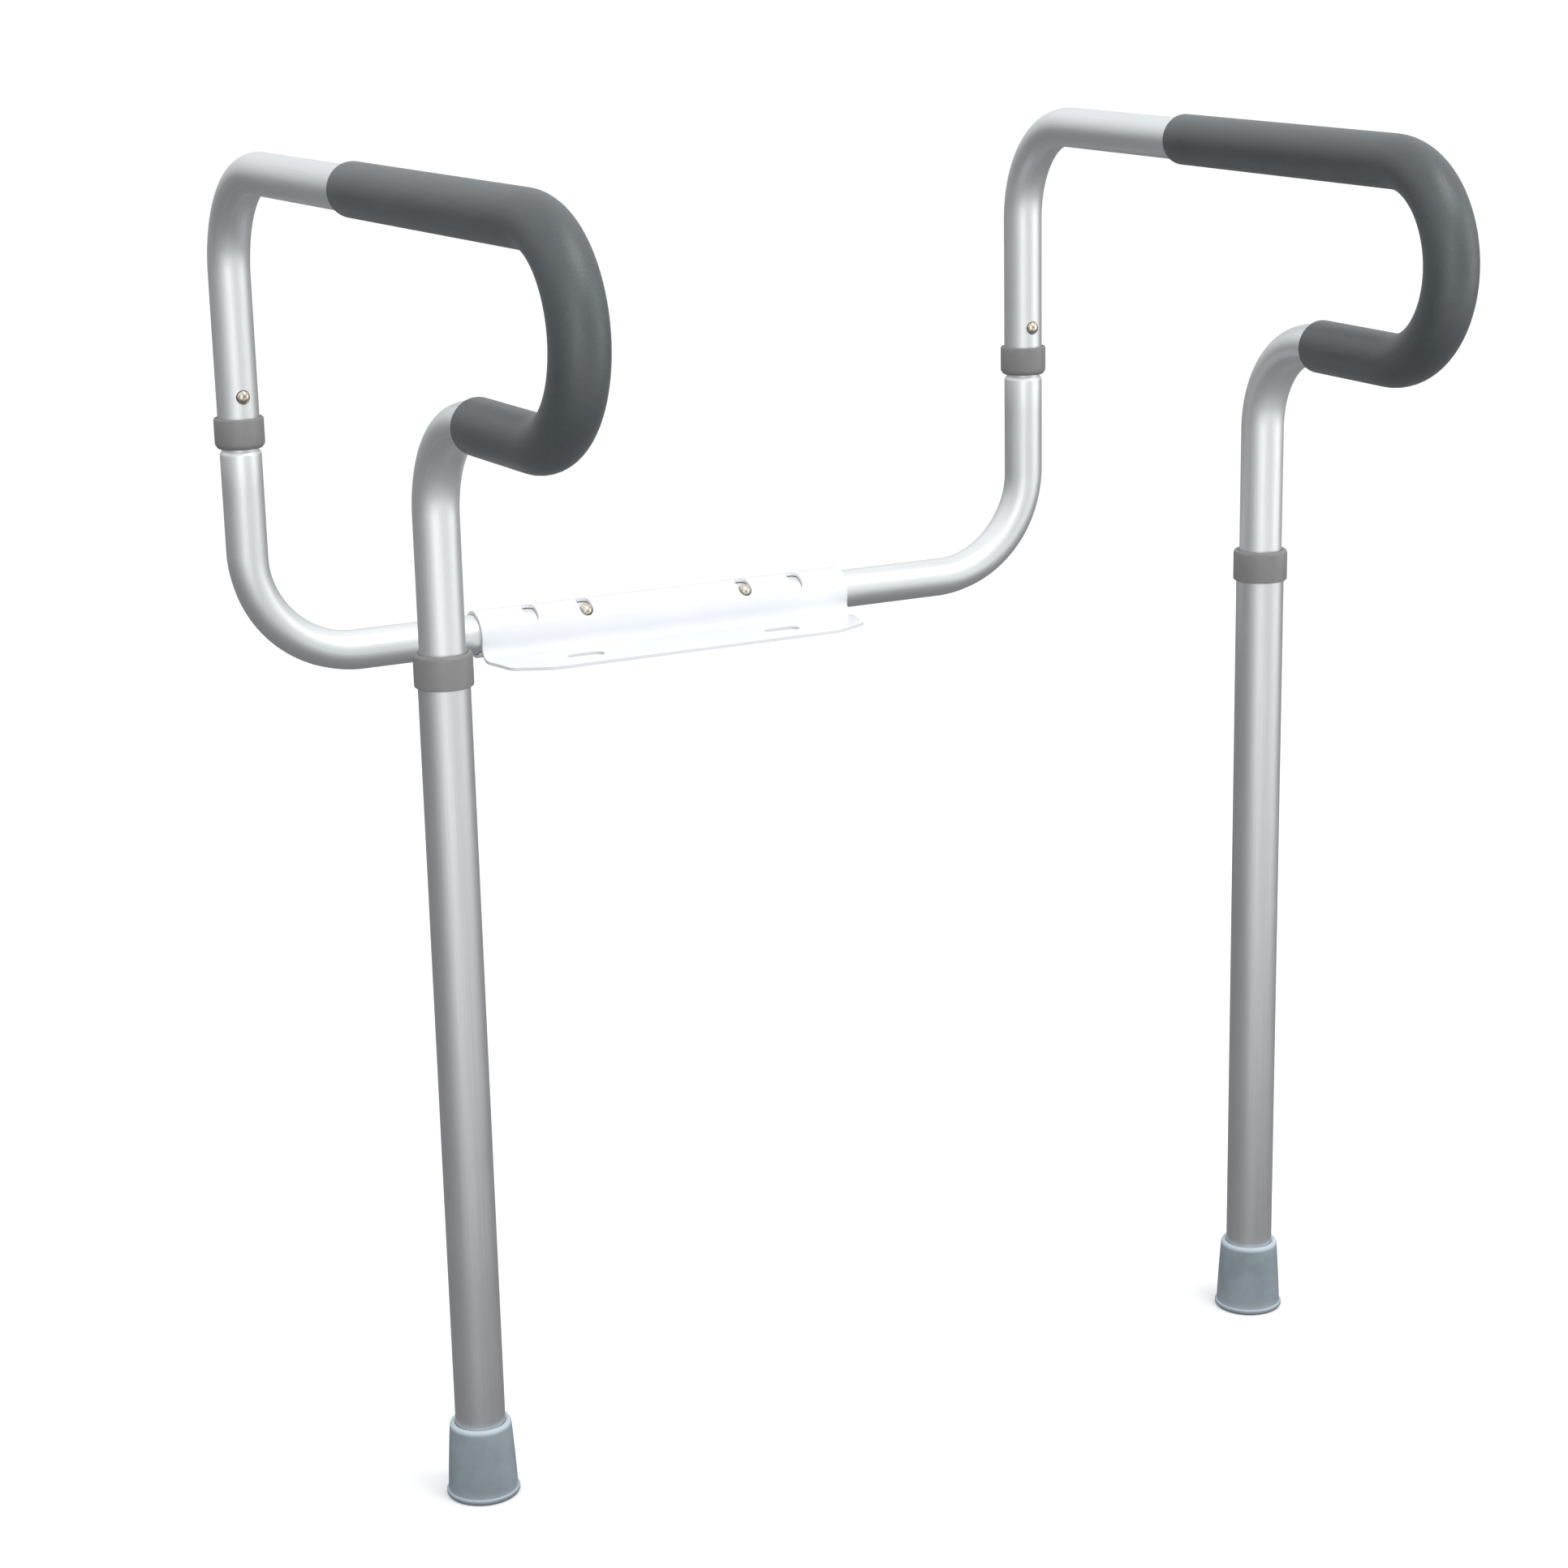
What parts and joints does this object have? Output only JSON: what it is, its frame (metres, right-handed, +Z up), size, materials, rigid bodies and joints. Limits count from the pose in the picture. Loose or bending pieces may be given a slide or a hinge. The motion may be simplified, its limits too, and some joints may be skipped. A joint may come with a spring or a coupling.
{
  "type": "toilet safety frame",
  "caption": "Armrest frame for a toilet: bent tube rails with foam grips, height-adjustable front legs on rubber tips, and a bracket held by the seat bolts.",
  "frame": {"origin": "centre of the bracket plate's underside, midway between the two seat bolt slots", "axes": "+Z up, +Y towards the tank at the back, +X to the right as seen from the front"},
  "size_m": [0.584, 0.5149, 0.749],
  "materials": {
    "white_powder_coat": "semi-gloss white powder coat",
    "anodised_aluminium": "satin clear anodised",
    "grey_foam": "matte closed-cell foam",
    "grey_plastic": "satin moulded",
    "blue_grey_rubber": "matte moulded rubber",
    "button_steel": "plated and polished",
    "spring_steel": "plated strip",
    "black_plastic": "moulded"
  },
  "bodies": {
    "bracket": {"bracket": "white_powder_coat"},
    "left_plug": {"left_arm_end_plug": "black_plastic"},
    "left_arm": {"left_lower_arm": "anodised_aluminium", "left_width_clip": "spring_steel", "left_rail_clip": "spring_steel"},
    "left_width_button": {"left_width_button": "button_steel"},
    "left_rail_button": {"left_rail_button": "button_steel"},
    "left_rail": {"left_armrest_rail": "anodised_aluminium", "left_foam_grip": "grey_foam", "left_rear_collar": "grey_plastic", "left_leg_clip": "spring_steel"},
    "left_leg_button": {"left_leg_button": "button_steel"},
    "left_leg": {"left_leg_tube": "anodised_aluminium", "left_front_collar": "grey_plastic", "left_foot_tip": "blue_grey_rubber", "left_foot_washer": "spring_steel"},
    "right_plug": {"right_arm_end_plug": "black_plastic"},
    "right_arm": {"right_lower_arm": "anodised_aluminium", "right_width_clip": "spring_steel", "right_rail_clip": "spring_steel"},
    "right_width_button": {"right_width_button": "button_steel"},
    "right_rail_button": {"right_rail_button": "button_steel"},
    "right_rail": {"right_armrest_rail": "anodised_aluminium", "right_foam_grip": "grey_foam", "right_rear_collar": "grey_plastic", "right_leg_clip": "spring_steel"},
    "right_leg_button": {"right_leg_button": "button_steel"},
    "right_leg": {"right_leg_tube": "anodised_aluminium", "right_front_collar": "grey_plastic", "right_foot_tip": "blue_grey_rubber", "right_foot_washer": "spring_steel"}
  },
  "joints": [
    {"name": "left_width_slide", "type": "slide", "parent": "bracket", "child": "left_plug", "axis": [-1, 0, 0], "range_m": [0, 0.038], "deforming": ["left_width_button", "left_width_clip"]},
    {"name": "left_arm_tilt", "type": "hinge", "parent": "left_plug", "child": "left_arm", "pos_m": [-0.035, 0.038, 0.0152], "axis": [-1, 0, 0], "range_deg": [0, 28]},
    {"name": "left_width_button_press", "type": "slide", "parent": "left_arm", "child": "left_width_button", "axis": [0, 0.7193, -0.6947], "range_m": [0, 0.0045], "stiffness_N_per_m": 1500, "springref_m": -0.002},
    {"name": "left_rail_button_press", "type": "slide", "parent": "left_arm", "child": "left_rail_button", "axis": [0, 1, 0], "range_m": [0, 0.0045], "stiffness_N_per_m": 1500, "springref_m": -0.002},
    {"name": "left_rail_lift", "type": "slide", "parent": "left_arm", "child": "left_rail", "axis": [0, 0, 1], "range_m": [0, 0.11], "deforming": ["left_rail_button", "left_rail_clip"]},
    {"name": "left_leg_button_press", "type": "slide", "parent": "left_rail", "child": "left_leg_button", "axis": [0.0401, -0.9992, 0], "range_m": [0, 0.0045], "stiffness_N_per_m": 1500, "springref_m": -0.002, "deforming": ["left_leg_clip"]},
    {"name": "left_leg_extend", "type": "slide", "parent": "left_rail", "child": "left_leg", "axis": [0, 0, -1], "range_m": [-0.0508, 0.1016]},
    {"name": "right_width_slide", "type": "slide", "parent": "bracket", "child": "right_plug", "axis": [1, 0, 0], "range_m": [0, 0.038], "deforming": ["right_width_button", "right_width_clip"]},
    {"name": "right_arm_tilt", "type": "hinge", "parent": "right_plug", "child": "right_arm", "pos_m": [0.035, 0.038, 0.0152], "axis": [-1, 0, 0], "range_deg": [0, 28]},
    {"name": "right_width_button_press", "type": "slide", "parent": "right_arm", "child": "right_width_button", "axis": [0, 0.7193, -0.6947], "range_m": [0, 0.0045], "stiffness_N_per_m": 1500, "springref_m": -0.002},
    {"name": "right_rail_button_press", "type": "slide", "parent": "right_arm", "child": "right_rail_button", "axis": [0, 1, 0], "range_m": [0, 0.0045], "stiffness_N_per_m": 1500, "springref_m": -0.002},
    {"name": "right_rail_lift", "type": "slide", "parent": "right_arm", "child": "right_rail", "axis": [0, 0, 1], "range_m": [0, 0.11], "deforming": ["right_rail_button", "right_rail_clip"]},
    {"name": "right_leg_button_press", "type": "slide", "parent": "right_rail", "child": "right_leg_button", "axis": [-0.0401, -0.9992, 0], "range_m": [0, 0.0045], "stiffness_N_per_m": 1500, "springref_m": -0.002, "deforming": ["right_leg_clip"]},
    {"name": "right_leg_extend", "type": "slide", "parent": "right_rail", "child": "right_leg", "axis": [0, 0, -1], "range_m": [-0.0508, 0.1016]}
  ]
}
